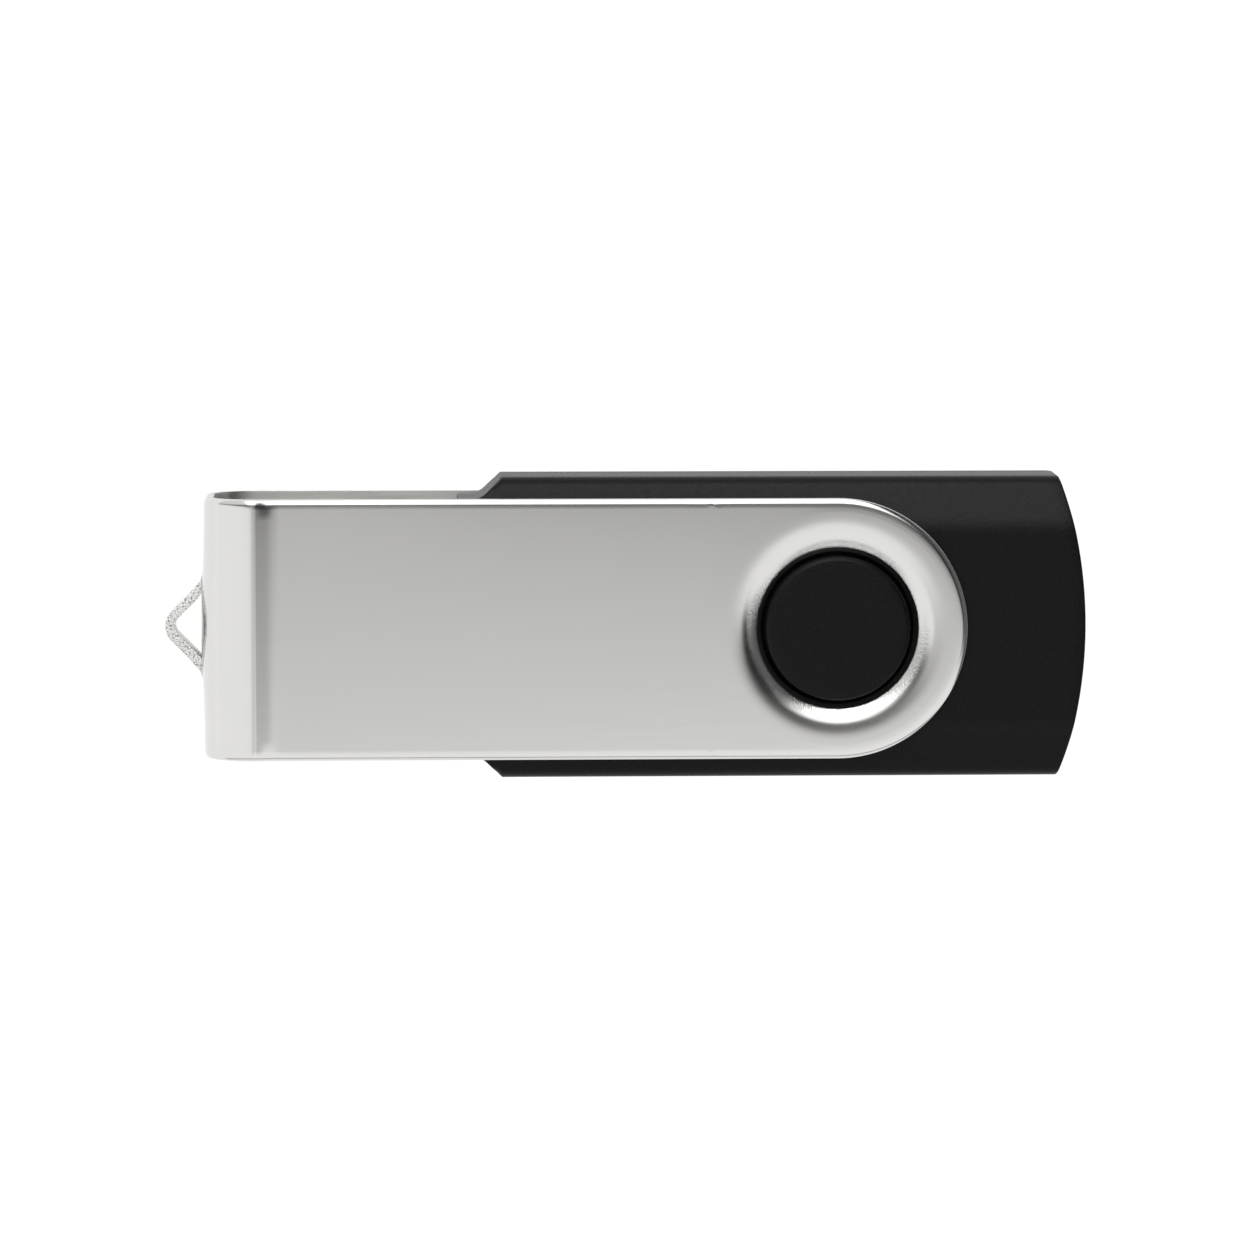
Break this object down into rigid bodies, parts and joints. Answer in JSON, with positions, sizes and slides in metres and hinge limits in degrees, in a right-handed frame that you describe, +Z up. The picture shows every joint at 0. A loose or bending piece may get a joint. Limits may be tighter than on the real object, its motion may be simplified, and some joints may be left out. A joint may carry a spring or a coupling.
{
  "type": "usb flash drive",
  "caption": "Flat USB flash drive with a type A plug, a plastic housing and a folded steel cover that swivels about the housing to hide or free the plug.",
  "frame": {"origin": "centre of the bounding box in X and Y, at the outer face of the lower plate of the cover, where the drive rests", "axes": "+X along the drive from the plug to the rear end of the housing, +Y across its width, +Z up out of the upper plate, along the swivel axis"},
  "size_m": [0.0572, 0.019, 0.01],
  "materials": {
    "cover_steel": "satin nickel plate on steel sheet",
    "housing_plastic": "fine spark-eroded texture",
    "plug_steel": "bright nickel plate",
    "insulator_plastic": "moulded, matt",
    "contact_metal": "gold flash over nickel",
    "board_laminate": "green solder mask over glass-epoxy laminate",
    "chip_resin": "moulded epoxy",
    "tinned_metal": "matt tin plate",
    "chip_ceramic": "unglazed",
    "resistor_coat": "dark overcoat on alumina",
    "capacitor_ceramic": "fired ceramic",
    "led_resin": "clear moulded lens"
  },
  "bodies": {
    "housing": {"upper_shell": "housing_plastic", "lower_shell": "housing_plastic", "plug_shell": "plug_steel", "plug_insulator": "insulator_plastic", "contact_vbus": "contact_metal", "contact_dminus": "contact_metal", "contact_dplus": "contact_metal", "contact_ground": "contact_metal", "circuit_board": "board_laminate", "board_pads": "contact_metal", "flash_package": "chip_resin", "flash_leads": "tinned_metal", "controller_package": "chip_resin", "controller_leads": "tinned_metal", "crystal_base": "chip_ceramic", "crystal_lid": "tinned_metal", "resistors": "resistor_coat", "resistor_terminals": "tinned_metal", "capacitors": "capacitor_ceramic", "capacitor_terminals": "tinned_metal", "status_led": "led_resin", "led_terminals": "tinned_metal", "tab_solder": "tinned_metal"},
    "cover": {"swivel_cover": "cover_steel"}
  },
  "joints": [
    {"name": "cover_swivel", "type": "hinge", "parent": "housing", "child": "cover", "pos_m": [0.01312, 0, 0.005], "axis": [0, 0, 1], "continuous": true}
  ]
}
